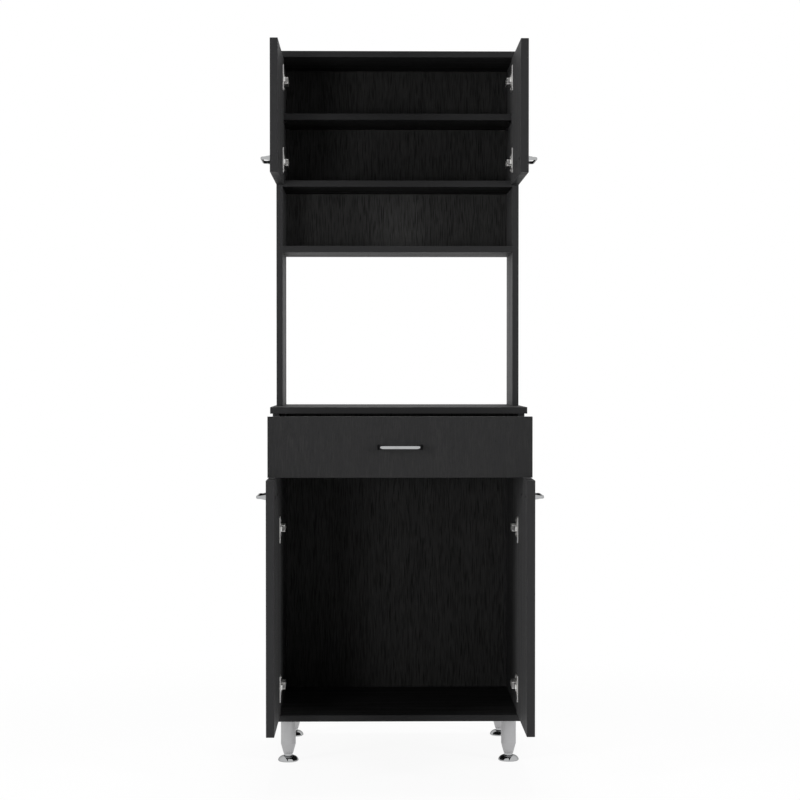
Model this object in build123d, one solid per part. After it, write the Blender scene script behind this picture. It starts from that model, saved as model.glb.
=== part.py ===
from build123d import *
import os
from math import sqrt

# A tall kitchen cabinet in black board. A base cupboard with two doors and a drawer stands on four
# metal legs. A shallower upper cupboard with two doors, an open cubby and an open bay stands on the
# rear of its worktop. The doors are modelled open and the drawer pulled out.
# Millimetres, +Z up, floor at Z = 0, front towards -Y. X = 0 is the middle of the width and Y = 0 the
# front edges of the base sides. At the end all is moved so that the origin lies on the floor under
# the middle of the box round the open cabinet.

# Boards
board = 15.0                  # carcass boards and shelves
front_board = 18.0            # doors and drawer front
back_board = 3.0              # back panels
edge_round = 1.0              # rounding of front edges

# Carcass
carcass_width = 590.0
carcass_depth = 380.0         # base: front edges of the sides to the rear of the back panel
hutch_depth = 200.0           # upper cupboard: the same
counter_overhang = 5.0        # worktop past each side
base_side_height = 705.0
hutch_side_height = 844.0
top_space = 133.0             # inner shelf to the top panel
inner_shelf_rise = 148.0      # shelf under the doors to the inner shelf
cubby_height = 144.0          # lowest shelf to the shelf under the doors; the open bay gets the rest
inner_shelf_setback = 4.0     # inner shelf behind the front edges of the sides
inner_shelf_play = 0.5        # at each end of the inner shelf

# Doors and drawer front
door_gap = 3.0                # back of a closed door to the carcass
reveal = 2.0                  # above and below doors and drawer front
side_reveal = 1.0             # closed door edge inside the carcass side
middle_gap = 2.0              # between a pair of closed doors
door_shelf_cover = 11.0       # upper doors over the front edge of the shelf below them
drawer_front_height = 136.0
open_angle = 90.0             # doors as they stand
drawer_out = 205.0            # drawer as it stands
drawer_travel = 260.0         # closed to the runner's stop

# Bow handles
handle_foot_spacing = 96.0
handle_bar_length = 86.0      # between the two bends
handle_reach = 24.3
handle_bend = 9.0
handle_thick = 5.0
handle_height = 7.2           # of the bar
handle_foot_height = 12.4     # on the face
handle_from_edge = 95.0       # middle of a door handle to the free edge of its door
low_handle_drop = 39.8        # top of a lower door to the middle of its handle
up_handle_rise = 37.4         # bottom of an upper door to the middle of its handle

# Concealed hinges
cup_radius = 17.4
cup_depth = 13.0
cup_wall = 0.6
cup_from_edge = 3.0           # bore to the hinge edge of the door
cup_fit = 0.1                 # round the cup in its bore
flange_length = 62.0
flange_width = 19.0
flange_offset = 9.5           # flange's bar behind the cup's middle
flange_corner = 3.0
flange_thick = 1.6
flange_rim = 1.1              # flange past the cup
flange_hole_spacing = 45.0
flange_hole_radius = 2.1
pin_radius = 1.2
pin_fit = 0.05
pin_from_edge = 7.2           # hinge pin to the hinge edge of the door
eye_radius = 2.0
eye_clear = 0.4               # arm's eye to the floor of the cup
arm_thick = 2.0
arm_width = 11.0              # in the cup
arm_bend = 2.5
arm_clear = 1.6               # arm's neck to the flange of the open door
channel_width = 15.5          # on the mounting plate
channel_wall = 1.4
nose_wall = 1.5               # closes the front of the channel
arm_setback = 4.0             # first bend behind the front edge of the side
arm_slope = 6.0               # length of the slanted stretch
arm_reach = 57.0              # front edge of the side to the arm's rear end
plate_thick = 2.0
plate_length = 30.0
plate_rib_width = 9.0
plate_rib_height = 9.0
plate_wing_length = 48.0
plate_wing_width = 12.0
plate_hole_spacing = 32.0
plate_hole_radius = 2.5
plate_hole_setback = 37.0     # holes behind the front edge of the side
low_hinge_from_bottom = 62.0
low_hinge_from_top = 130.0
up_hinge_from_bottom = 56.0
up_hinge_from_top = 50.0

# Legs and levelling feet
leg_height = 102.0
leg_radius = 17.5
leg_end_radius = 11.0
leg_straight = 61.0           # length above the taper
leg_inset = 34.4              # leg's middle inside the carcass outline
foot_radius = 24.2
foot_height = 17.0            # floor to the top of the neck
foot_neck_radius = 9.5
foot_dome = 12.4              # floor to the top of the dome
foot_rim = 3.0
foot_chamfer = 1.5
foot_bulge = 3.2
foot_gap = 0.3                # foot to leg
foot_stem_radius = 5.0
foot_stem_length = 30.0
foot_stem_fit = 0.05
stud_radius = 4.0
stud_in_leg = 14.0
stud_in_board = 11.5

# Drawer box and roller runners
drawer_board = 12.0
drawer_side_height = 96.0
drawer_lift = 20.0            # box above the lower edge of the drawer front
drawer_back_space = 30.0      # behind the closed box
drawer_floor = 3.0
drawer_floor_lift = 8.0       # drawer floor above the lower edge of the box
groove_depth = 6.0
groove_fit = 0.15
runner_space = 12.5           # between the box and the cabinet side
runner_steel = 1.2
runner_bend = 1.6
runner_front = 2.0            # front end behind the front edge of the side
runner_rear_space = 25.0      # cabinet runner to the rear edge of the side
runner_flange_clear = 9.5     # flange tips of the cabinet runner to the cabinet side
track_rise = 20.2             # track above the lower edge of the box
track_clear = 3.5             # track's edge to the cabinet side
track_lid_gap = 0.5           # track to the upper flange of the cabinet runner
roller_radius = 8.0
roller_width = 6.0
roller_gap = 0.3              # roller to what rolls on it, and to the runner beside it
roller_from_end = 12.0
axle_radius = 2.0
axle_fit = 0.05
axle_head_radius = 3.4
axle_head = 0.8
stop_height = 2.0
stop_length = 2.0

# Dowels and shelf pins
dowel_radius = 4.0
dowel_short = 9.5             # in the face of a board
dowel_long = 20.0             # in the end of a board
dowel_fit = 0.05
base_dowel_inset = 50.0
hutch_dowel_inset = 70.0
shelf_dowel_inset = 40.0
shelf_pin_radius = 2.5
shelf_pin_in = 9.0
shelf_pin_out = 8.0
shelf_pin_inset = 30.0

# Places that follow from the sizes
half_width = carcass_width / 2
inner_half = half_width - board
side_middle = half_width - board / 2
lip = front_board + door_gap
side_rear = carcass_depth - back_board
hutch_front = carcass_depth - hutch_depth
floor_z = leg_height + board
counter_z = floor_z + base_side_height
hutch_z = counter_z + board
top_z = hutch_z + hutch_side_height
inner_shelf_z = top_z - top_space - board
middle_shelf_z = inner_shelf_z - inner_shelf_rise - board
lower_shelf_z = middle_shelf_z - cubby_height - board
drawer_front_z1 = counter_z - reveal
drawer_front_z0 = drawer_front_z1 - drawer_front_height
low_door_z0 = floor_z + reveal
low_door_z1 = drawer_front_z0 - reveal
up_door_z0 = middle_shelf_z + board - door_shelf_cover
up_door_z1 = top_z - reveal
hinge_edge = half_width - side_reveal
door_width = hinge_edge - middle_gap / 2
low_hinges = [low_door_z0 + low_hinge_from_bottom, low_door_z1 - low_hinge_from_top]
up_hinges = [up_door_z0 + up_hinge_from_bottom, up_door_z1 - up_hinge_from_top]

nodes = {}


def slab(x0, x1, y0, y1, z0, z1):
    middle = Pos((x0 + x1) / 2, (y0 + y1) / 2, (z0 + z1) / 2)
    return middle * Box(x1 - x0, y1 - y0, z1 - z0)


def rod(radius, start, direction, length):
    upright = (Align.CENTER, Align.CENTER, Align.MIN)
    return Plane(origin=start, z_dir=direction) * Cylinder(radius, length, align=upright)


def turned(*outline):
    # Solid of revolution about Z from edges drawn as (radius, height)
    return revolve(Plane.XZ * make_face(outline), Axis.Z)


def soften_front(piece):
    # Rounds the edges of the face that looks to the front
    return fillet(piece.faces().sort_by(Axis.Y)[0].edges(), edge_round)


def mirrored(piece):
    return mirror(piece, about=Plane.YZ)


def add_pair(name, piece):
    # A left piece, and its mirror image on the right
    nodes[name.format("left")] = piece
    nodes[name.format("right")] = mirrored(piece)


# Dowels: each is a start point, a direction into the end of a board, and lies in two boards
def upright_dowels(z, up, insets):
    return [((x, y, z - dowel_short * up), (0, 0, up)) for x in (-side_middle, side_middle) for y in insets]


def level_dowels(z, insets):
    ends = [(-inner_half - dowel_short, 1), (inner_half + dowel_short, -1)]
    return [((x, y, z), (way, 0, 0)) for x, way in ends for y in insets]


def dowel_solids(places, fit=0.0):
    length = dowel_short + dowel_long
    return [rod(dowel_radius + fit, start, way, length) for start, way in places]


base_dowel_ys = (base_dowel_inset, side_rear - base_dowel_inset)
hutch_dowel_ys = (hutch_front + hutch_dowel_inset, side_rear - hutch_dowel_inset)
shelf_dowel_ys = (hutch_front + shelf_dowel_inset, side_rear - shelf_dowel_inset)
floor_dowels = upright_dowels(floor_z, 1, base_dowel_ys)
counter_dowels = upright_dowels(counter_z, -1, base_dowel_ys)
hutch_dowels = upright_dowels(hutch_z, 1, hutch_dowel_ys)
top_dowels = upright_dowels(top_z, -1, shelf_dowel_ys)
lower_shelf_dowels = level_dowels(lower_shelf_z + board / 2, shelf_dowel_ys)
middle_shelf_dowels = level_dowels(middle_shelf_z + board / 2, shelf_dowel_ys)


def drilled(piece, places):
    return piece - dowel_solids(places, dowel_fit)


# Legs: a stud in the bottom panel, the leg, and a foot whose stem screws into it
leg_xs = (-half_width + leg_inset, half_width - leg_inset)
leg_ys = (leg_inset, carcass_depth - leg_inset)
leg_places = {}
for row, leg_y in zip(("front", "rear"), leg_ys):
    for side, leg_x in zip(("left", "right"), leg_xs):
        leg_places[row + "_" + side] = (leg_x, leg_y)

stud_z = leg_height - stud_in_leg
stud_length = stud_in_leg + stud_in_board
leg_end_z = foot_height + foot_gap
taper_z = leg_height - leg_straight
leg_outline = Polyline(
    (0, leg_end_z),
    (leg_end_radius, leg_end_z),
    (leg_radius, taper_z),
    (leg_radius, leg_height),
    (0, leg_height),
    close=True,
)
leg = turned(leg_outline)
leg -= rod(foot_stem_radius + foot_stem_fit, (0, 0, leg_end_z), (0, 0, 1), foot_stem_length + foot_gap)
leg -= rod(stud_radius + dowel_fit, (0, 0, stud_z), (0, 0, 1), stud_in_leg)
foot_top = foot_height + foot_stem_length
foot = turned(
    Polyline((foot_neck_radius, foot_dome), (foot_neck_radius, foot_height), (foot_stem_radius, foot_height)),
    Polyline((foot_stem_radius, foot_height), (foot_stem_radius, foot_top)),
    Polyline((foot_stem_radius, foot_top), (0, foot_top), (0, 0), (foot_radius - foot_chamfer, 0)),
    Polyline((foot_radius - foot_chamfer, 0), (foot_radius, foot_chamfer), (foot_radius, foot_rim)),
    SagittaArc((foot_radius, foot_rim), (foot_neck_radius, foot_dome), -foot_bulge),
)
studs = []
stud_holes = []
for corner, (leg_x, leg_y) in leg_places.items():
    nodes[corner + "_leg"] = Pos(leg_x, leg_y, 0) * leg
    nodes[corner + "_foot"] = Pos(leg_x, leg_y, 0) * foot
    studs.append(rod(stud_radius, (leg_x, leg_y, stud_z), (0, 0, 1), stud_length))
    stud_holes.append(rod(stud_radius + dowel_fit, (leg_x, leg_y, stud_z), (0, 0, 1), stud_length))
nodes["leg_studs"] = Compound(studs)

# Base cupboard
bottom_panel = soften_front(slab(-half_width, half_width, -lip, side_rear, leg_height, floor_z))
nodes["base_bottom"] = drilled(bottom_panel, floor_dowels) - stud_holes
base_side = slab(-half_width, -inner_half, 0, side_rear, floor_z, counter_z)
add_pair("base_{}_side", drilled(base_side, floor_dowels + counter_dowels))
nodes["base_back"] = slab(-half_width, half_width, side_rear, carcass_depth, leg_height, counter_z)
counter_half = half_width + counter_overhang
counter = soften_front(slab(-counter_half, counter_half, -lip, carcass_depth, counter_z, hutch_z))
nodes["countertop"] = drilled(counter, counter_dowels + hutch_dowels)

# Upper cupboard
pin_ys = (hutch_front + shelf_pin_inset, side_rear - shelf_pin_inset)
pin_z = inner_shelf_z - shelf_pin_radius
pin_starts = [(-inner_half - shelf_pin_in, y, pin_z) for y in pin_ys]
pin_length = shelf_pin_in + shelf_pin_out
left_pins = Compound([rod(shelf_pin_radius, start, (1, 0, 0), pin_length) for start in pin_starts])
pin_holes = [rod(shelf_pin_radius + dowel_fit, start, (1, 0, 0), pin_length) for start in pin_starts]
nodes["shelf_pins"] = Compound(left_pins.solids() + mirrored(left_pins).solids())

hutch_side = slab(-half_width, -inner_half, hutch_front, side_rear, hutch_z, top_z)
hutch_side_dowels = hutch_dowels + top_dowels + lower_shelf_dowels + middle_shelf_dowels
add_pair("hutch_{}_side", drilled(hutch_side, hutch_side_dowels) - pin_holes)
hutch_top = soften_front(slab(-half_width, half_width, hutch_front - lip, side_rear, top_z, top_z + board))
nodes["hutch_top"] = drilled(hutch_top, top_dowels)
lower_shelf = slab(-inner_half, inner_half, hutch_front, side_rear, lower_shelf_z, lower_shelf_z + board)
nodes["lower_shelf"] = drilled(lower_shelf, lower_shelf_dowels)
middle_shelf = slab(-inner_half, inner_half, hutch_front, side_rear, middle_shelf_z, middle_shelf_z + board)
nodes["middle_shelf"] = drilled(middle_shelf, middle_shelf_dowels)
inner_shelf_half = inner_half - inner_shelf_play
inner_shelf_front = hutch_front + inner_shelf_setback
nodes["inner_shelf"] = slab(
    -inner_shelf_half, inner_shelf_half, inner_shelf_front, side_rear, inner_shelf_z, inner_shelf_z + board
)
nodes["hutch_back"] = slab(-half_width, half_width, side_rear, carcass_depth, lower_shelf_z, top_z + board)
all_dowels = floor_dowels + counter_dowels + hutch_side_dowels
nodes["dowels"] = Compound(dowel_solids(all_dowels))


# Bow handle on the face Y = 0, its bar along X and its grip towards -Y
def bow_handle():
    foot = handle_foot_spacing / 2
    bend = handle_bar_length / 2
    depth = handle_reach - handle_thick / 2
    sunk = handle_thick               # the feet start behind the face and are cut flush with it
    spread = (foot - bend) * sunk / depth
    corners = [(-foot - spread, sunk), (-bend, -depth), (bend, -depth), (foot + spread, sunk)]
    edges = FilletPolyline(*corners, radius=handle_bend).edges()
    leg = edges[0]
    grip = Wire(edges[1:-1])
    post_length = leg.length - (Vector(*corners[0]) - Vector(-foot, 0)).length
    flare = (handle_foot_height - handle_height) * leg.length / post_length
    root = Plane(origin=leg @ 0, x_dir=(0, 0, 1), z_dir=leg % 0)
    bar_start = Plane(origin=grip @ 0, x_dir=(0, 0, 1), z_dir=grip % 0)
    bar_end = bar_start * SlotOverall(handle_height, handle_thick)
    post = loft([root * SlotOverall(handle_height + flare, handle_thick), bar_end])
    bow = sweep(bar_end, grip) + post + mirror(post, about=Plane.YZ)
    behind = slab(-handle_foot_spacing, handle_foot_spacing, 0, 2 * sunk, -handle_reach, handle_reach)
    return bow - behind


# Hinges, in the frame of a closed left door: X from its hinge edge, Y from its outer face
cup_x = cup_from_edge + cup_fit + cup_radius
cup_floor_y = front_board - cup_depth
pin_y = cup_floor_y + cup_wall + eye_clear + eye_radius
side_face_x = hinge_edge - inner_half
neck_x = pin_from_edge + front_board - pin_y + flange_thick + arm_clear + arm_thick / 2
web_x = side_face_x + plate_thick + plate_rib_height + arm_thick / 2
arm_turn_y = lip + arm_setback
arm_level_y = arm_turn_y + arm_slope
arm_end_y = lip + arm_reach
plate_hole_y = lip + plate_hole_setback


def hinge_cup():
    cup = rod(cup_radius, (cup_x, cup_floor_y, 0), (0, 1, 0), cup_depth)
    outline = Circle(cup_radius + flange_rim) + Pos(flange_offset, 0) * RectangleRounded(
        flange_width, flange_length, flange_corner
    )
    for across in (-flange_hole_spacing / 2, flange_hole_spacing / 2):
        outline -= Pos(flange_offset, across) * Circle(flange_hole_radius)
    face = Plane(origin=(cup_x, front_board, 0), x_dir=(1, 0, 0), z_dir=(0, 1, 0))
    cup += extrude(face * outline, amount=flange_thick)
    hollow_start = (cup_x, cup_floor_y + cup_wall, 0)
    cup -= rod(cup_radius - cup_wall, hollow_start, (0, 1, 0), cup_depth + flange_thick)
    return cup - hinge_axis_rod(pin_radius + pin_fit)


def hinge_axis_rod(radius):
    return rod(radius, (pin_from_edge, pin_y, -cup_radius), (0, 0, 1), 2 * cup_radius)


def hinge_pin():
    # Its ends lie flush with the outside of the cup
    return hinge_axis_rod(pin_radius) & rod(cup_radius, (cup_x, 0, 0), (0, 1, 0), front_board)


def hinge_arm():
    path = FilletPolyline(
        (pin_from_edge, pin_y),
        (neck_x, pin_y),
        (neck_x, arm_turn_y),
        (web_x, arm_level_y),
        (web_x, arm_end_y),
        radius=arm_bend,
    )
    arm = extrude(trace(path, arm_thick), arm_width / 2, both=True)
    arm += rod(eye_radius, (pin_from_edge, pin_y, -arm_width / 2), (0, 0, 1), arm_width)
    top_x = web_x + arm_thick / 2
    half = channel_width / 2
    channel = slab(side_face_x + plate_thick, top_x, arm_level_y, arm_end_y, -half, half)
    inside = half - channel_wall
    channel -= slab(side_face_x, top_x - arm_thick, arm_level_y + nose_wall, arm_end_y, -inside, inside)
    arm += channel
    return arm - hinge_axis_rod(pin_radius + pin_fit)


def hinge_plate():
    face = Plane(origin=(side_face_x, plate_hole_y, 0), x_dir=(0, 1, 0), z_dir=(1, 0, 0))
    outline = Rectangle(plate_length, channel_width) + SlotOverall(
        plate_wing_length, plate_wing_width, rotation=90
    )
    for across in (-plate_hole_spacing / 2, plate_hole_spacing / 2):
        outline -= Pos(0, across) * Circle(plate_hole_radius)
    plate = extrude(face * outline, amount=plate_thick)
    rib = Rectangle(plate_length, plate_rib_width)
    return plate + extrude(face * rib, amount=plate_thick + plate_rib_height)


arm_solid = hinge_arm()
plate_solid = hinge_plate()
cup_solid = hinge_cup()
pin_solid = hinge_pin()
handle_solid = bow_handle()


def door_pieces(z0, z1, hinge_zs, handle_z):
    # The closed left door and what it carries
    door = soften_front(slab(0, door_width, 0, front_board, z0, z1))
    for z in hinge_zs:
        bore_start = (cup_x, cup_floor_y - cup_fit, z)
        door -= rod(cup_radius + cup_fit, bore_start, (0, 1, 0), front_board)
    return {
        "door": door,
        "handle": Pos(door_width - handle_from_edge, 0, handle_z) * handle_solid,
        "hinge_cups": Compound([Pos(0, 0, z) * cup_solid for z in hinge_zs]),
        "hinge_pins": Compound([Pos(0, 0, z) * pin_solid for z in hinge_zs]),
    }


def swung(piece, front_y):
    # Turns a piece of a closed left door about its hinge pins
    pivot = Pos(-hinge_edge + pin_from_edge, front_y - lip + pin_y, 0)
    return pivot * Rot(0, 0, -open_angle) * Pos(-pin_from_edge, -pin_y, 0) * piece


def hung(piece, front_y, hinge_zs):
    # The same fixed hinge piece at each height, on the left and on the right
    left = [Pos(-hinge_edge, front_y - lip, z) * piece for z in hinge_zs]
    return Compound(left + [mirrored(one) for one in left])


cupboards = {
    "lower": (0.0, low_door_z0, low_door_z1, low_hinges, low_door_z1 - low_handle_drop),
    "upper": (hutch_front, up_door_z0, up_door_z1, up_hinges, up_door_z0 + up_handle_rise),
}
for level, (front_y, z0, z1, hinge_zs, handle_z) in cupboards.items():
    for piece_name, piece in door_pieces(z0, z1, hinge_zs, handle_z).items():
        add_pair(level + "_{}_" + piece_name, swung(piece, front_y))
    nodes[level + "_hinge_arms"] = hung(arm_solid, front_y, hinge_zs)
    nodes[level + "_hinge_plates"] = hung(plate_solid, front_y, hinge_zs)

# Drawer box, drawn closed
box_half = inner_half - runner_space
box_inner_half = box_half - drawer_board
box_front = -door_gap
box_rear = side_rear - drawer_back_space
box_z0 = drawer_front_z0 + drawer_lift
box_z1 = box_z0 + drawer_side_height
floor_x = box_inner_half + groove_depth
floor_y0 = box_front - groove_depth
floor_y1 = box_rear - drawer_board + groove_depth
floor_z0 = box_z0 + drawer_floor_lift
floor_z1 = floor_z0 + drawer_floor
drawer_bottom = slab(-floor_x, floor_x, floor_y0, floor_y1, floor_z0, floor_z1)
groove = slab(
    -floor_x - groove_fit, floor_x + groove_fit, floor_y0 - groove_fit, floor_y1 + groove_fit,
    floor_z0, floor_z1 + groove_fit,
)
drawer_face = slab(-half_width, half_width, -lip, box_front, drawer_front_z0, drawer_front_z1)
drawer_side = slab(-box_half, -box_inner_half, box_front, box_rear, box_z0, box_z1)
runner_edge = drawer_side.edges().filter_by(Axis.Y).group_by(Axis.Z)[0].sort_by(Axis.X)[0]
drawer_side = fillet(runner_edge, runner_bend) - groove
drawer_back = slab(-box_inner_half, box_inner_half, box_rear - drawer_board, box_rear, box_z0, box_z1)
drawer_handle_z = (drawer_front_z0 + drawer_front_z1) / 2

# Roller runners: bent steel strips seen along Y, on the left
steel_half = runner_steel / 2
track_z = box_z0 + track_rise
roller_z = track_z - steel_half - roller_gap - roller_radius
web_face_x = -inner_half + runner_steel
strip_x = -box_half - runner_steel
flange_tip_x = -inner_half + runner_flange_clear
low_flange_z = roller_z - roller_radius - roller_gap - steel_half
high_flange_z = track_z + runner_steel + track_lid_gap
runner_rear = side_rear - runner_rear_space


def bent_strip(corners, y0, y1):
    section = trace(FilletPolyline(*corners, radius=runner_bend), runner_steel)
    return extrude(Plane.XZ.offset(-y1) * section, amount=y1 - y0)


channel_corners = [
    (flange_tip_x, low_flange_z),
    (-inner_half + steel_half, low_flange_z),
    (-inner_half + steel_half, high_flange_z),
    (flange_tip_x, high_flange_z),
]
track_corners = [
    (-box_inner_half, box_z0 - steel_half),
    (-box_half - steel_half, box_z0 - steel_half),
    (-box_half - steel_half, track_z),
    (-inner_half + track_clear, track_z),
]
cabinet_roller_y = runner_front + roller_from_end
drawer_roller_y = box_rear - roller_from_end
stop_reach = sqrt(roller_radius**2 - (roller_radius + roller_gap - stop_height) ** 2)
stop_y = drawer_roller_y - drawer_travel - stop_reach - roller_gap
cabinet_runner = bent_strip(channel_corners, runner_front, runner_rear)
cabinet_runner += slab(
    web_face_x, flange_tip_x, stop_y - stop_length, stop_y,
    low_flange_z + steel_half, low_flange_z + steel_half + stop_height,
)
drawer_runner = bent_strip(track_corners, box_front, box_rear)


def roller(face_x, way, y):
    # A roller beside the face at face_x, reaching away from it in the direction way along X
    start = face_x + way * roller_gap
    wheel = rod(roller_radius, (start, y, roller_z), (way, 0, 0), roller_width)
    return wheel - rod(axle_radius + axle_fit, (face_x, y, roller_z), (way, 0, 0), 2 * roller_width)


def axle(face_x, way, y):
    length = roller_width + 2 * roller_gap
    shaft = rod(axle_radius, (face_x, y, roller_z), (way, 0, 0), length)
    return shaft + rod(axle_head_radius, (face_x + way * length, y, roller_z), (way, 0, 0), axle_head)


def pulled(piece):
    return Pos(0, -drawer_out, 0) * piece


cabinet_axle = axle(web_face_x, 1, cabinet_roller_y)
drawer_axle = axle(strip_x, -1, drawer_roller_y)
add_pair("{}_cabinet_runner", cabinet_runner)
add_pair("{}_cabinet_roller", roller(web_face_x, 1, cabinet_roller_y))
nodes["cabinet_roller_axles"] = Compound([cabinet_axle, mirrored(cabinet_axle)])
add_pair("{}_drawer_runner", pulled(drawer_runner))
add_pair("{}_drawer_roller", pulled(roller(strip_x, -1, drawer_roller_y)))
nodes["drawer_roller_axles"] = pulled(Compound([drawer_axle, mirrored(drawer_axle)]))
nodes["drawer_front"] = pulled(soften_front(drawer_face) - groove)
add_pair("drawer_{}_side", pulled(drawer_side))
nodes["drawer_back"] = pulled(drawer_back - groove)
nodes["drawer_bottom"] = pulled(drawer_bottom)
nodes["drawer_handle"] = pulled(Pos(0, -lip, drawer_handle_z) * handle_solid)

# Move the origin under the middle of the whole box and write one file for each node
boxes = [piece.bounding_box() for piece in nodes.values()]
near_y = min(box.min.Y for box in boxes)
far_y = max(box.max.Y for box in boxes)
to_origin = Pos(0, -(near_y + far_y) / 2, 0)
os.makedirs("parts", exist_ok=True)
for name, piece in nodes.items():
    export_step(to_origin * piece, "parts/" + name + ".step")
print(len(nodes), "nodes; moved along Y by", round(-(near_y + far_y) / 2, 4))
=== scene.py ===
import bpy, bmesh
from math import asin, cos, pi, radians, sin
from mathutils import Matrix, Vector


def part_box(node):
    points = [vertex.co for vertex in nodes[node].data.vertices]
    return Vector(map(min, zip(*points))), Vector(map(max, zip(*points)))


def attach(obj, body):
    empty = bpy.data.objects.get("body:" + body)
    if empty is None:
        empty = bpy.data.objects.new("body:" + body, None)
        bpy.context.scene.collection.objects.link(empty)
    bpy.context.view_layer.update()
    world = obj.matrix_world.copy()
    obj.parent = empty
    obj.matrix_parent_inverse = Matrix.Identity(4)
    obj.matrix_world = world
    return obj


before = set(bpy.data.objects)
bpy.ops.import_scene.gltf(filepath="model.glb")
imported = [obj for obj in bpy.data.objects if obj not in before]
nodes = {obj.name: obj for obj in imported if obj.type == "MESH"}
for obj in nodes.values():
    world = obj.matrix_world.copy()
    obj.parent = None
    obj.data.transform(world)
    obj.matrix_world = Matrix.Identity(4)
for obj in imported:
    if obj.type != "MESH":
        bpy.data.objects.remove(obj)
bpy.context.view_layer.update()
print("frame loaded:", len(nodes), "CAD nodes")


class Wire:  # one output socket; arithmetic on it adds Math nodes
    def __init__(self, tree, socket):
        self.tree = tree
        self.socket = socket

    def maths(self, operation, first, second=0.0):
        return self.tree.node("Math", {"operation": operation}, {0: first, 1: second})

    def __add__(self, other):
        return self.maths("ADD", self, other)

    def __sub__(self, other):
        return self.maths("SUBTRACT", self, other)

    def __rsub__(self, other):
        return self.maths("SUBTRACT", other, self)

    def __mul__(self, other):
        return self.maths("MULTIPLY", self, other)

    def __abs__(self):
        return self.maths("ABSOLUTE", self)

    __radd__ = __add__
    __rmul__ = __mul__


class ShaderTree:  # the nodes of a material or of the world
    def __init__(self, owner):
        owner.use_nodes = True
        self.tree = owner.node_tree
        self.tree.nodes.clear()

    def node(self, kind, settings={}, sockets={}, out=0):
        made = self.tree.nodes.new("ShaderNode" + kind)
        for name, value in settings.items():
            setattr(made, name, value)
        for name, value in sockets.items():
            socket = made.inputs[name]
            if isinstance(value, Wire):
                self.tree.links.new(value.socket, socket)
            elif socket.type == "RGBA":
                socket.default_value = (*value, 1.0)
            else:
                socket.default_value = value
        return Wire(self, made.outputs[out]) if len(made.outputs) else None

    def place(self):  # a point on the piece, in metres
        return self.node("TexCoord", out="Object")

    def along(self, vector, axis):  # one coordinate of a vector
        return self.node("SeparateXYZ", {}, {0: vector}, "XYZ".index(axis))

    def turned(self, axis):  # which way the surface faces along an axis of the piece, -1 to 1
        return self.along(self.node("TexCoord", out="Normal"), axis)

    def inward(self, point, soft=0.1):  # 1 on faces turned towards the cabinet's middle plane
        return self.rise(0 - self.turned("X") * self.along(point, "X"), 0.0, soft)

    def noise(self, point, size, detail=2.0, rough=0.5):  # one size, or one for each axis
        sizes = (size,) * 3 if isinstance(size, float) else size
        rates = tuple(1 / each for each in sizes)
        spot = self.node("VectorMath", {"operation": "MULTIPLY"}, {0: point, 1: rates})
        return self.node("TexNoise", {}, {
            "Vector": spot, "Scale": 1.0, "Detail": detail, "Roughness": rough})

    def rise(self, value, low, high, first=0.0, last=1.0):  # smooth step from first to last
        return self.node("MapRange", {"interpolation_type": "SMOOTHSTEP"}, {
            "Value": value, 1: low, 2: high, 3: first, 4: last})

    def blend(self, mask, first, second):  # colours
        return self.node("Mix", {"data_type": "RGBA"}, {0: mask, 6: first, 7: second}, 2)

    def bump(self, height, depth):
        return self.node("Bump", {}, {"Strength": 1.0, "Distance": depth, "Height": height})

    def surface(self, sockets):
        self.node("OutputMaterial", {}, {"Surface": self.node("BsdfPrincipled", {}, sockets)})


def newFinish(name):
    material = bpy.data.materials.new(name)
    return material, ShaderTree(material)


def between(ends, mask):  # from the first end to the second as the mask goes from 0 to 1
    return ends[0] + (ends[1] - ends[0]) * mask


def shared(share, first, second):  # this share of the first and the rest of the second
    return share * first + (1 - share) * second


# Black laminate: fine streaks along the grain, short pores, and plain edging on the narrow faces
board = {
    "ground": (0.0148, 0.0148, 0.0152),
    "streak": (0.0212, 0.0210, 0.0207),
    "pore": (0.010, 0.010, 0.010),
    "edging": (0.0180, 0.0180, 0.0185),
    "broadFaces": (0.6, 0.8),          # how squarely a face is turned before the grain shows
    "figureSize": (0.024, 0.32),       # across and along the grain, in metres
    "figureRange": (0.3, 0.7),
    "figureShare": (0.4, 1.0),         # strength of the streaks where the figure is weak and strong
    "streakSize": (0.0017, 0.034),
    "streakRange": (0.44, 0.70),
    "streakHeight": 0.5,               # as a share of the pores' depth
    "poreSize": (0.0006, 0.011),
    "poreRange": (0.60, 0.72),
    "poreShare": 0.7,
    "poreDepth": 0.00012,
    "roughness": (0.60, 0.44),         # of the bare ground and of the streaks
    "streakGloss": 0.35,               # the rest of the change in roughness follows the figure
    "poreRough": 0.06,
    "specular": 0.07,
}
# Level boards: the same laminate, with darker edging as painted shade on their front edges
levelBoardPaintedShade = dict(board, edging=(0.0158, 0.0158, 0.0162))
# Painted light: paler tones on faces turned towards the cabinet's middle, standing in for the light
# those inner faces catch
innerPaintedLight = {"ground": (0.0330, 0.0330, 0.0338), "streak": (0.0470, 0.0466, 0.0460)}
panel = dict(
    board, ground=(0.0225, 0.0224, 0.0222), streak=(0.030, 0.0298, 0.0295),
    pore=(0.002, 0.002, 0.002), poreSize=(0.0013, 0.046), poreRange=(0.50, 0.62), poreShare=0.66,
    roughness=(0.66, 0.46))


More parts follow.
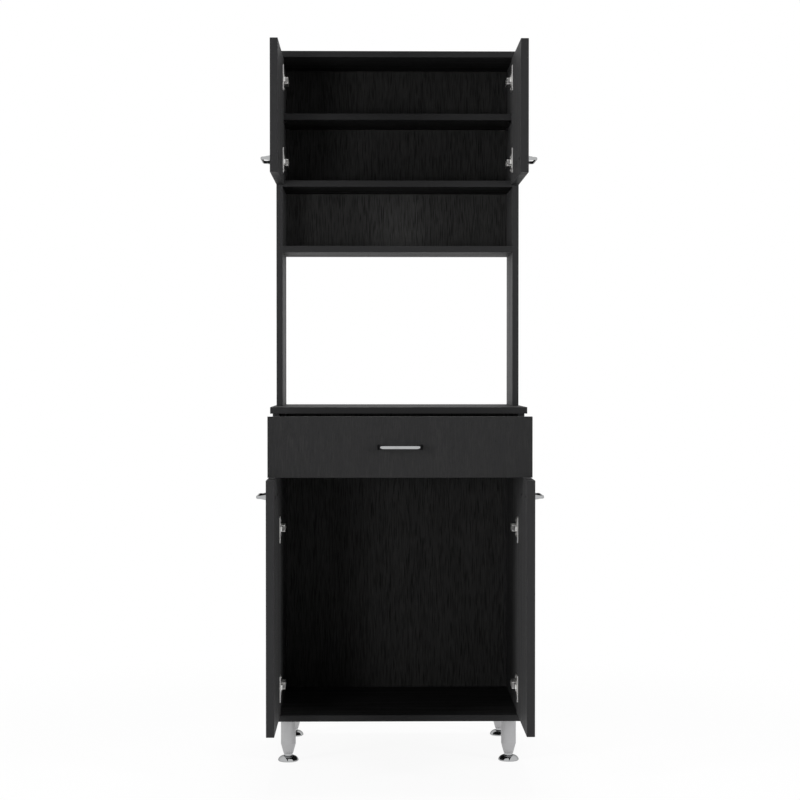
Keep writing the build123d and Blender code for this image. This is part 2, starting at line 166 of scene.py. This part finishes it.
def boardFinish(name, look, grain, face, paintedLight=None):
    material, tree = newFinish(name)
    point = tree.place()

    def grainNoise(size, detail):
        across, along = size
        sizes = [along if axis == grain else across for axis in "XYZ"]
        return tree.noise(point, sizes, detail, rough=0.6)

    flat = tree.rise(abs(tree.turned(face)), *look["broadFaces"])
    figure = tree.rise(grainNoise(look["figureSize"], detail=2.0), *look["figureRange"])
    streaks = tree.rise(grainNoise(look["streakSize"], detail=3.0), *look["streakRange"])
    pores = tree.rise(grainNoise(look["poreSize"], detail=1.0), *look["poreRange"]) * flat
    grained = streaks * between(look["figureShare"], figure)
    tone = tree.blend(grained, look["ground"], look["streak"])
    # painted light: faces turned inwards get the paler tones, as if lit
    if paintedLight:
        paintedLightTone = tree.blend(grained, paintedLight["ground"], paintedLight["streak"])
        tone = tree.blend(tree.inward(point), tone, paintedLightTone)
    tone = tree.blend(pores * look["poreShare"], tone, look["pore"])
    gloss = shared(look["streakGloss"], grained, figure)
    tree.surface({
        "Base Color": tree.blend(flat, look["edging"], tone),
        "Roughness": between(look["roughness"], gloss) + look["poreRough"] * pores,
        "Specular IOR Level": look["specular"],
        "Normal": tree.bump((grained * look["streakHeight"] - pores) * flat, look["poreDepth"]),
    })
    return material


# Polished chrome with faint wipe marks
chrome = {
    "tone": (0.435, 0.44, 0.445),
    "haze": (0.38, 0.385, 0.39),
    "grazing": (0.42, 0.42, 0.42),     # tint seen along the surface
    "roughness": (0.04, 0.13),
    "markSize": 0.012,
    "markRange": (0.45, 0.75),
    "markShare": 0.6,
    "markRough": 0.7,                  # the rest of the roughness comes from the scratches
    "scratchSize": (0.0004, 0.0004, 0.02),
    "scratchDepth": 0.000004,
}


def chromeFinish():
    material, tree = newFinish("polishedChrome")
    point = tree.place()
    wiped = tree.noise(point, chrome["markSize"], detail=3.0, rough=0.6)
    marks = tree.rise(wiped, *chrome["markRange"])
    scratches = tree.noise(point, chrome["scratchSize"])
    tree.surface({
        "Base Color": tree.blend(marks * chrome["markShare"], chrome["tone"], chrome["haze"]),
        "Metallic": 1.0,
        "Specular Tint": chrome["grazing"],
        "Roughness": between(chrome["roughness"], shared(chrome["markRough"], marks, scratches)),
        "Normal": tree.bump(scratches, chrome["scratchDepth"]),
    })
    return material


# Turned legs: satin metal with fine rings from the lathe
satin = {
    "tone": (0.49, 0.49, 0.496),
    "ring": (0.432, 0.432, 0.437),
    "roughness": (0.50, 0.62),
    "ringSize": (0.05, 0.05, 0.0005),
    "ringShare": 0.6,                  # of the colour; clouds give the rest
    "ringRough": 0.5,                  # of the roughness; clouds give the rest
    "ringDepth": 0.00001,
    "cloudSize": 0.02,
}


def satinFinish():
    material, tree = newFinish("satinLegMetal")
    point = tree.place()
    rings = tree.noise(point, satin["ringSize"], rough=0.6)
    clouds = tree.noise(point, satin["cloudSize"])
    shade = shared(satin["ringShare"], rings, clouds)
    tree.surface({
        "Base Color": tree.blend(shade, satin["tone"], satin["ring"]),
        "Metallic": 1.0,
        "Roughness": between(satin["roughness"], shared(satin["ringRough"], rings, clouds)),
        "Normal": tree.bump(rings, satin["ringDepth"]),
    })
    return material


# Plated pressings and blackened screws: soft mottling from the bath
nickel = {
    "tone": (0.56, 0.55, 0.535),
    "dull": (0.42, 0.415, 0.405),
    "roughness": (0.30, 0.46),
    "mottleSize": 0.004,
    "mottleRange": (0.35, 0.7),
    "mottleRough": 0.6,                # the rest of the roughness comes from the rolling
    "rollSize": (0.0006, 0.02, 0.0006),
    "rollDepth": 0.000008,
}
bright = dict(
    nickel, tone=(0.93, 0.92, 0.905), dull=(0.82, 0.81, 0.795), roughness=(0.46, 0.60))
blackened = dict(
    nickel, tone=(0.030, 0.030, 0.031), dull=(0.018, 0.018, 0.018), roughness=(0.35, 0.55))


def platedFinish(name, look):
    material, tree = newFinish(name)
    point = tree.place()
    bath = tree.noise(point, look["mottleSize"], detail=3.0, rough=0.6)
    mottle = tree.rise(bath, *look["mottleRange"])
    rolled = tree.noise(point, look["rollSize"])
    tree.surface({
        "Base Color": tree.blend(mottle, look["tone"], look["dull"]),
        "Metallic": 1.0,
        "Roughness": between(look["roughness"], shared(look["mottleRough"], mottle, rolled)),
        "Normal": tree.bump(rolled, look["rollDepth"]),
    })
    return material


# Epoxy on the runners: slight orange peel, rubbed where the rollers run
epoxy = {
    "tone": (0.66, 0.66, 0.64),
    "rubbed": (0.46, 0.46, 0.45),
    "roughness": (0.32, 0.50),
    "peelSize": 0.0016,
    "peelRough": 0.5,                  # the rest of the roughness comes from the rubbing
    "peelDepth": 0.00002,
    "rubSize": (0.002, 0.12, 0.002),
    "rubRange": (0.52, 0.75),
}


def epoxyFinish():
    material, tree = newFinish("runnerEpoxy")
    point = tree.place()
    peel = tree.noise(point, epoxy["peelSize"])
    worn = tree.noise(point, epoxy["rubSize"], rough=0.6)
    rubs = tree.rise(worn, *epoxy["rubRange"]) * abs(tree.turned("Z"))
    tree.surface({
        "Base Color": tree.blend(rubs, epoxy["tone"], epoxy["rubbed"]),
        "Roughness": between(epoxy["roughness"], shared(epoxy["peelRough"], peel, rubs)),
        "Normal": tree.bump(peel, epoxy["peelDepth"]),
    })
    return material


# Nylon rollers: milky, with grey dust on the rim
nylon = {
    "tone": (0.74, 0.74, 0.71),
    "dust": (0.50, 0.49, 0.46),
    "roughness": (0.38, 0.55),
    "dustSize": 0.003,
    "dustRange": (0.45, 0.75),
    "dustShare": (0.25, 0.75),         # on the flat faces and on the rim
    "flatFaces": (0.5, 0.9),
    "dustDepth": 0.00002,
}


def nylonFinish():
    material, tree = newFinish("rollerNylon")
    specks = tree.noise(tree.place(), nylon["dustSize"], detail=3.0, rough=0.6)
    dust = tree.rise(specks, *nylon["dustRange"])
    rim = 1 - tree.rise(abs(tree.turned("X")), *nylon["flatFaces"])
    laid = dust * between(nylon["dustShare"], rim)
    tree.surface({
        "Base Color": tree.blend(laid, nylon["tone"], nylon["dust"]),
        "Roughness": between(nylon["roughness"], dust),
        "Normal": tree.bump(dust, nylon["dustDepth"]),
    })
    return material


# Raw beech dowels: pale wood with short darker flecks
beech = {
    "tone": (0.56, 0.40, 0.25),
    "fleck": (0.36, 0.22, 0.12),
    "roughness": (0.55, 0.70),
    "grainSize": (0.012, 0.0015, 0.0015),
    "fleckRange": (0.45, 0.7),
    "grainDepth": 0.0001,
}


def beechFinish():
    material, tree = newFinish("beechDowel")
    grain = tree.noise(tree.place(), beech["grainSize"], detail=3.0, rough=0.6)
    flecks = tree.rise(grain, *beech["fleckRange"])
    tree.surface({
        "Base Color": tree.blend(flecks, beech["tone"], beech["fleck"]),
        "Roughness": between(beech["roughness"], flecks),
        "Normal": tree.bump(grain, beech["grainDepth"]),
    })
    return material


# A board's finish takes the axis of its grain and the axis that its broad faces look along
finishes = {
    "chrome": chromeFinish(),
    "satin": satinFinish(),
    "nickel": platedFinish("nickelPlate", nickel),
    "bright": platedFinish("brightNickel", bright),
    "blackened": platedFinish("blackenedSteel", blackened),
    "epoxy": epoxyFinish(),
    "nylon": nylonFinish(),
    "beech": beechFinish(),
    # the upright laminate also carries painted light on its inward faces
    "upright": boardFinish("uprightLaminate", board, "Z", "X", innerPaintedLight),
    "level": boardFinish("levelLaminate", levelBoardPaintedShade, "X", "Z"),
    "fore": boardFinish("drawerFrontLaminate", board, "Z", "Y"),
    "boxSide": boardFinish("drawerSideLaminate", board, "Y", "X"),
    "boxBack": boardFinish("drawerBackLaminate", board, "X", "Y"),
    "boxFloor": boardFinish("drawerFloorPanel", panel, "Y", "Z"),
    "back": boardFinish("backPanel", panel, "Z", "Y"),
}

# The last words of a node's name say what it is made of; the first ending that fits is taken
finishOfNode = {
    "_door": "upright",
    "drawer_left_side": "boxSide", "drawer_right_side": "boxSide", "_side": "upright",
    "drawer_front": "fore", "drawer_bottom": "boxFloor",
    "drawer_back": "boxBack", "_back": "back",
    "countertop": "level", "_top": "level", "_shelf": "level", "base_bottom": "level",
    "_handle": "chrome", "_foot": "chrome", "_leg": "satin",
    "_hinge_cups": "bright", "_hinge_arms": "bright",
    "_hinge_pins": "nickel", "_hinge_plates": "nickel",
    "shelf_pins": "blackened", "leg_studs": "nickel", "_axles": "nickel",
    "_runner": "epoxy", "_roller": "nylon", "dowels": "beech",
}
for nodeName, node in nodes.items():
    ending = next(words for words in finishOfNode if nodeName.endswith(words))
    for slot in node.material_slots:
        slot.material = finishes[finishOfNode[ending]]
print("finishes on the CAD nodes:", len(finishes))

# Screw and nail heads: each dictionary is one kind of head, in metres
cupScrew = {"radius": 0.0034, "rise": 0.0004, "shank": 0.0019, "sunk": 0.0016,
            "cross": 0.0005, "crossReach": 0.0020, "crossDepth": 0.0009}
plateScrew = {"radius": 0.0042, "rise": 0.0018, "shank": 0.0023, "sunk": 0.0022,
              "cross": 0.0006, "crossReach": 0.0024, "crossDepth": 0.0013}
armScrew = {"radius": 0.0034, "rise": 0.0010, "shank": 0.0024, "sunk": 0.0010,
            "cross": 0.0005, "crossReach": 0.0020, "crossDepth": 0.0008}
handleScrew = {"radius": 0.0045, "rise": 0.0010, "shank": 0.0020, "sunk": 0.0020,
               "cross": 0.0006, "crossReach": 0.0026, "crossDepth": 0.0012}
runnerScrew = {"radius": 0.0036, "rise": 0.0009, "shank": 0.0018, "sunk": 0.0008,
               "cross": 0.0005, "crossReach": 0.0020, "crossDepth": 0.0007}
panelNail = {"radius": 0.0024, "rise": 0.0006, "shank": 0.0008, "sunk": 0.0015}

# What all heads share
headShape = {
    "armPoints": 5,                    # points from one arm of the cross to the next
    "crossMiddle": 1.6,                # where the arms meet, in half widths of an arm
    "crossTaper": 0.6,                 # width of the cross at its floor, as a share
    "crossHeight": 0.97,               # height at the arms' ends, as a share of the rise
    "dome": ((0.80, 0.84), (0.96, 0.45)),   # further rings: shares of the radius and the rise
    "nailMiddle": (0.12, 0.55),        # a nail's two inner rings stand where a cross would be
    "crease": 40,                      # degrees above which an edge stays sharp
    "spin": 0.83,                      # radians, so that each was driven home at its own angle
}


def addHead(mesh, look, place):
    # Rings from the middle out, over the rim and down the shank, the cross arms as wide all along
    outer, rise, shank = look["radius"], look["rise"], look["shank"]
    nailCross, nailReach = headShape["nailMiddle"]
    cross = look.get("cross", outer * nailCross)
    reach = look.get("crossReach", outer * nailReach)
    middleShare, points = headShape["crossMiddle"], headShape["armPoints"]
    rimAngle = asin(cross / reach)
    rings = [(cross * middleShare, rise, asin(1 / middleShare)),
             (reach, rise * headShape["crossHeight"], rimAngle)]
    rings += [(outer * out, rise * up, rimAngle) for out, up in headShape["dome"]]
    rings += [(outer, 0.0, rimAngle), (shank, 0.0, rimAngle), (shank, -look["sunk"], rimAngle)]
    loops = []
    for radius, height, half in rings:
        loop = []
        for quarter in range(4):
            start = quarter * pi / 2
            step = (pi / 2 - 2 * half) / points
            angles = [start - half] + [start + half + step * index for index in range(points)]
            for angle in angles:
                spot = Vector((radius * cos(angle), radius * sin(angle), height))
                loop.append(mesh.verts.new(place @ spot))
        loops.append(loop)
    count = len(loops[0])
    middle = mesh.verts.new(place @ Vector((0, 0, rise)))
    sunkFaces = []
    for index in range(count):
        after = (index + 1) % count
        sunkFaces.append(mesh.faces.new((middle, loops[0][index], loops[0][after])))
        for ring in range(len(loops) - 1):
            inner, outside = loops[ring], loops[ring + 1]
            corners = (inner[index], outside[index], outside[after], inner[after])
            face = mesh.faces.new(corners)
            if ring == 0 and index % (points + 1) == 0:
                sunkFaces.append(face)
    mesh.faces.new(reversed(loops[-1]))
    if "cross" in look:
        pushed = bmesh.ops.extrude_face_region(mesh, geom=sunkFaces)["geom"]
        deep = [item for item in pushed if isinstance(item, bmesh.types.BMVert)]
        narrow = Matrix.Diagonal((headShape["crossTaper"], headShape["crossTaper"], 1.0, 1.0))
        down = Matrix.Translation((0, 0, -look["crossDepth"]))
        bmesh.ops.transform(mesh, matrix=place @ down @ narrow @ place.inverted(), verts=deep)
        bmesh.ops.delete(mesh, geom=sunkFaces, context="FACES")


def putInOrder(parts):
    # The extrude leaves its points and faces in another order each run, so they are sorted by place
    def place(part):
        return sorted(corner.co[:] for corner in getattr(part, "verts", [part]))

    order = {part: index for index, part in enumerate(sorted(parts, key=place))}
    parts.sort(key=order.get)


def addHeads(name, look, places, body, finish="nickel"):
    mesh = bmesh.new()
    for index, (point, way) in enumerate(places):
        turn = Vector(way).to_track_quat("Z", "Y").to_matrix().to_4x4()
        spin = Matrix.Rotation(index * headShape["spin"], 4, "Z")
        addHead(mesh, look, Matrix.Translation(point) @ turn @ spin)
    bmesh.ops.recalc_face_normals(mesh, faces=mesh.faces)
    for parts in (mesh.verts, mesh.edges, mesh.faces):
        putInOrder(parts)
    data = bpy.data.meshes.new(name)
    mesh.to_mesh(data)
    mesh.free()
    data.materials.append(finishes[finish])
    data.shade_smooth()
    data.set_sharp_from_angle(angle=radians(headShape["crease"]))
    piece = bpy.data.objects.new(name, data)
    bpy.context.scene.collection.objects.link(piece)
    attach(piece, body)


def bothWays(half):
    return (-half, half)


# Where the heads sit on the hinges, handles, runners and back panels, in metres
hinge = {
    "flangeHalf": 0.031,               # half the height of a cup's flange
    "barHalf": 0.0095,                 # front edge of the flange to its screws
    "cupHoleHalf": 0.0225,
    "wingHalf": 0.024,                 # half the height of a mounting plate
    "plateHoleHalf": 0.016,
    "plateThick": 0.002,
    "armHeight": 0.013,                # cabinet side to the outer face of the arm
    "armScrewsFromEnd": (0.011, 0.035),
}
handle = {"footHalf": 0.048}           # half the distance between a handle's feet
sides = {"left": 1, "right": -1}       # which way along X is inward

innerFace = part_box("base_left_side")[1].x               # the right side's inner face mirrors it
plateX, armX = innerFace + hinge["plateThick"], innerFace + hinge["armHeight"]
plateScrews, armScrews = [], []
for level in ("lower", "upper"):
    platesLow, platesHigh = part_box(level + "_hinge_plates")
    plateY = (platesLow.y + platesHigh.y) / 2
    plateHeights = (platesLow.z + hinge["wingHalf"], platesHigh.z - hinge["wingHalf"])
    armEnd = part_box(level + "_hinge_arms")[1].y
    for side, way in sides.items():
        leaf = f"{level}_{side}_door_leaf"
        cupsLow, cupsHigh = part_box(f"{level}_{side}_hinge_cups")
        flangeX = cupsHigh.x if way > 0 else cupsLow.x
        barY = cupsLow.y + hinge["barHalf"]
        cupHeights = (cupsLow.z + hinge["flangeHalf"], cupsHigh.z - hinge["flangeHalf"])
        cupPlaces = [((flangeX, barY, z + across), (way, 0, 0))
                     for z in cupHeights for across in bothWays(hinge["cupHoleHalf"])]
        addHeads(f"{level}_{side}_cup_screws", cupScrew, cupPlaces, leaf)
        gripLow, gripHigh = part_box(f"{level}_{side}_handle")
        grip = (gripLow + gripHigh) / 2
        doorLow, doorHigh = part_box(f"{level}_{side}_door")
        doorX = doorHigh.x if way > 0 else doorLow.x
        gripPlaces = [((doorX, grip.y + across, grip.z), (way, 0, 0))
                      for across in bothWays(handle["footHalf"])]
        addHeads(f"{level}_{side}_handle_screws", handleScrew, gripPlaces, leaf, "blackened")
        for z in plateHeights:
            plateScrews += [((way * plateX, plateY, z + across), (way, 0, 0))
                            for across in bothWays(hinge["plateHoleHalf"])]
            armScrews += [((way * armX, armEnd - back, z), (way, 0, 0))
                          for back in hinge["armScrewsFromEnd"]]
addHeads("hinge_plate_screws", plateScrew, plateScrews, "carcass")
addHeads("hinge_arm_screws", armScrew, armScrews, "carcass")

gripLow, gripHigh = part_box("drawer_handle")
grip = (gripLow + gripHigh) / 2
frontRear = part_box("drawer_front")[1].y
drawerPlaces = [((grip.x + across, frontRear, grip.z), (0, 1, 0))
                for across in bothWays(handle["footHalf"])]
addHeads("drawer_handle_screws", handleScrew, drawerPlaces, "drawer", "blackened")

runner = {
    "steel": 0.0012,
    "webScrews": (0.16, 0.48, 0.90),   # shares of the runner's length, from the front
    "underScrews": (0.12, 0.5, 0.88),
}
webPlaces, underPlaces = [], []
for side, way in sides.items():
    low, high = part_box(side + "_cabinet_runner")
    webX = (low.x if way > 0 else high.x) + way * runner["steel"]
    webZ = (low.z + high.z) / 2
    webPlaces += [((webX, low.y + part * (high.y - low.y), webZ), (way, 0, 0))
                  for part in runner["webScrews"]]
    low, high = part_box(side + "_drawer_runner")
    boxLow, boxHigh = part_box(f"drawer_{side}_side")
    boxX = (boxLow.x + boxHigh.x) / 2
    underPlaces += [((boxX, low.y + part * (high.y - low.y), low.z), (0, 0, -1))
                    for part in runner["underScrews"]]
addHeads("cabinet_runner_screws", runnerScrew, webPlaces, "carcass")
addHeads("drawer_runner_screws", runnerScrew, underPlaces, "drawer")

# Nails go round each back panel and along the shelves behind it
nailing = {"inset": 0.0075, "cornerGap": 0.030, "spacing": 0.115}
nailedShelves = {
    "base_back": ("base_bottom",),
    "hutch_back": ("lower_shelf", "middle_shelf", "hutch_top"),
}


def nailRow(start, end):
    # Nails from start to end along one line, about the spacing apart
    count = max(2, round((end - start).length / nailing["spacing"]) + 1)
    return [start.lerp(end, index / (count - 1)) for index in range(count)]


nails = []
gap = nailing["cornerGap"]
for panelName, shelves in nailedShelves.items():
    low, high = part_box(panelName)
    left, right = low.x + nailing["inset"], high.x - nailing["inset"]
    for x in (left, right):
        nails += nailRow(Vector((x, high.y, low.z + gap)), Vector((x, high.y, high.z - gap)))
    for shelf in shelves:
        shelfLow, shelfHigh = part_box(shelf)
        z = (shelfLow.z + shelfHigh.z) / 2
        nails += nailRow(Vector((left + gap, high.y, z)), Vector((right - gap, high.y, z)))
addHeads("back_panel_nails", panelNail, [(point, (0, 1, 0)) for point in nails], "carcass")
print("screw and nail heads made")

# Floor, white surroundings, lamps and camera
studio = {
    "white": (1.0, 1.0, 1.0),
    "sky": 0.11,                       # light from all round
    "floorTone": (0.92, 0.92, 0.92),
    "floorWhite": 0.93,                # share of white near the cabinet, where its shadow stays
    "floorFade": (0.5, 1.8),           # metres from the middle over which that share goes to 1
    "floorSize": 60.0,
    "aim": (0.0, 0.0, 0.85),
    "lampDistance": 5.0,
}
lamps = {                              # azimuth, elevation, width, height, spread and watts
    "left": (-54, 8, 1.0, 2.4, 180, 208.0),
    "right": (53, 8, 1.0, 2.4, 180, 174.0),
    "front": (-18, 0, 0.8, 0.8, 180, 74.0),
    "back": (170, 30, 2.5, 2.5, 180, 60.0),
    "top": (180, 80, 1.2, 1.2, 40, 8.0),
}
view = {"place": (-0.0628, -4.4425, 0.9215), "yaw": 0.857, "pitch": -0.884,
        "lens": 84.56, "sensor": 36.0}


def seenDirectly(tree):
    # 1 for what the camera, metal or glass sees, 0 for light on the object
    rays = ("Is Camera Ray", "Is Glossy Ray", "Is Transmission Ray")
    camera, glossy, through = (tree.node("LightPath", out=ray) for ray in rays)
    return tree.node("Math", {"operation": "MINIMUM"}, {0: camera + glossy + through, 1: 1.0})


floorData = bpy.data.meshes.new("floor")
edge = studio["floorSize"] / 2
corners = [(-edge, -edge, 0), (edge, -edge, 0), (edge, edge, 0), (-edge, edge, 0)]
floorData.from_pydata(corners, [], [(0, 1, 2, 3)])
floor = bpy.data.objects.new("floor", floorData)
bpy.context.scene.collection.objects.link(floor)
material, tree = newFinish("paleFloor")
matt = tree.node("BsdfDiffuse", {}, {"Color": studio["floorTone"]})
white = tree.node("Emission", {}, {"Color": studio["white"], "Strength": 1.0})
away = tree.node("VectorMath", {"operation": "LENGTH"}, {0: tree.place()}, "Value")
fade = tree.rise(away, *studio["floorFade"], studio["floorWhite"], 1.0)
mixed = tree.node("MixShader", {}, {0: seenDirectly(tree) * fade, 1: matt, 2: white})
tree.node("OutputMaterial", {}, {"Surface": mixed})
floorData.materials.append(material)

world = bpy.data.worlds.new("studio")
bpy.context.scene.world = world
tree = ShaderTree(world)
soft = tree.node("Background", {}, {"Color": studio["white"], "Strength": studio["sky"]})
white = tree.node("Background", {}, {"Color": studio["white"], "Strength": 1.0})
mixed = tree.node("MixShader", {}, {0: seenDirectly(tree), 1: soft, 2: white})
tree.node("OutputWorld", {}, {"Surface": mixed})

for name, (azimuth, elevation, width, height, spread, watts) in lamps.items():
    lamp = bpy.data.lights.new(name, "AREA")
    lamp.shape, lamp.size, lamp.size_y = "RECTANGLE", width, height
    lamp.spread, lamp.energy = radians(spread), watts
    holder = bpy.data.objects.new(name, lamp)
    holder.visible_glossy = False       # metal shows the white surroundings alone
    around, up = radians(azimuth), radians(elevation)
    back = Vector((sin(around) * cos(up), -cos(around) * cos(up), sin(up)))
    holder.location = Vector(studio["aim"]) + back * studio["lampDistance"]
    holder.rotation_euler = (-back).to_track_quat("-Z", "Y").to_euler()
    bpy.context.scene.collection.objects.link(holder)

camera = bpy.data.cameras.new("camera")
camera.lens, camera.sensor_width = view["lens"], view["sensor"]
holder = bpy.data.objects.new("camera", camera)
holder.location = view["place"]
holder.rotation_euler = (radians(90 + view["pitch"]), 0, radians(-view["yaw"]))  # 90 is level
bpy.context.scene.collection.objects.link(holder)
bpy.context.scene.camera = holder
bpy.context.scene.view_settings.view_transform = "Standard"
print("floor, lamps and camera set")
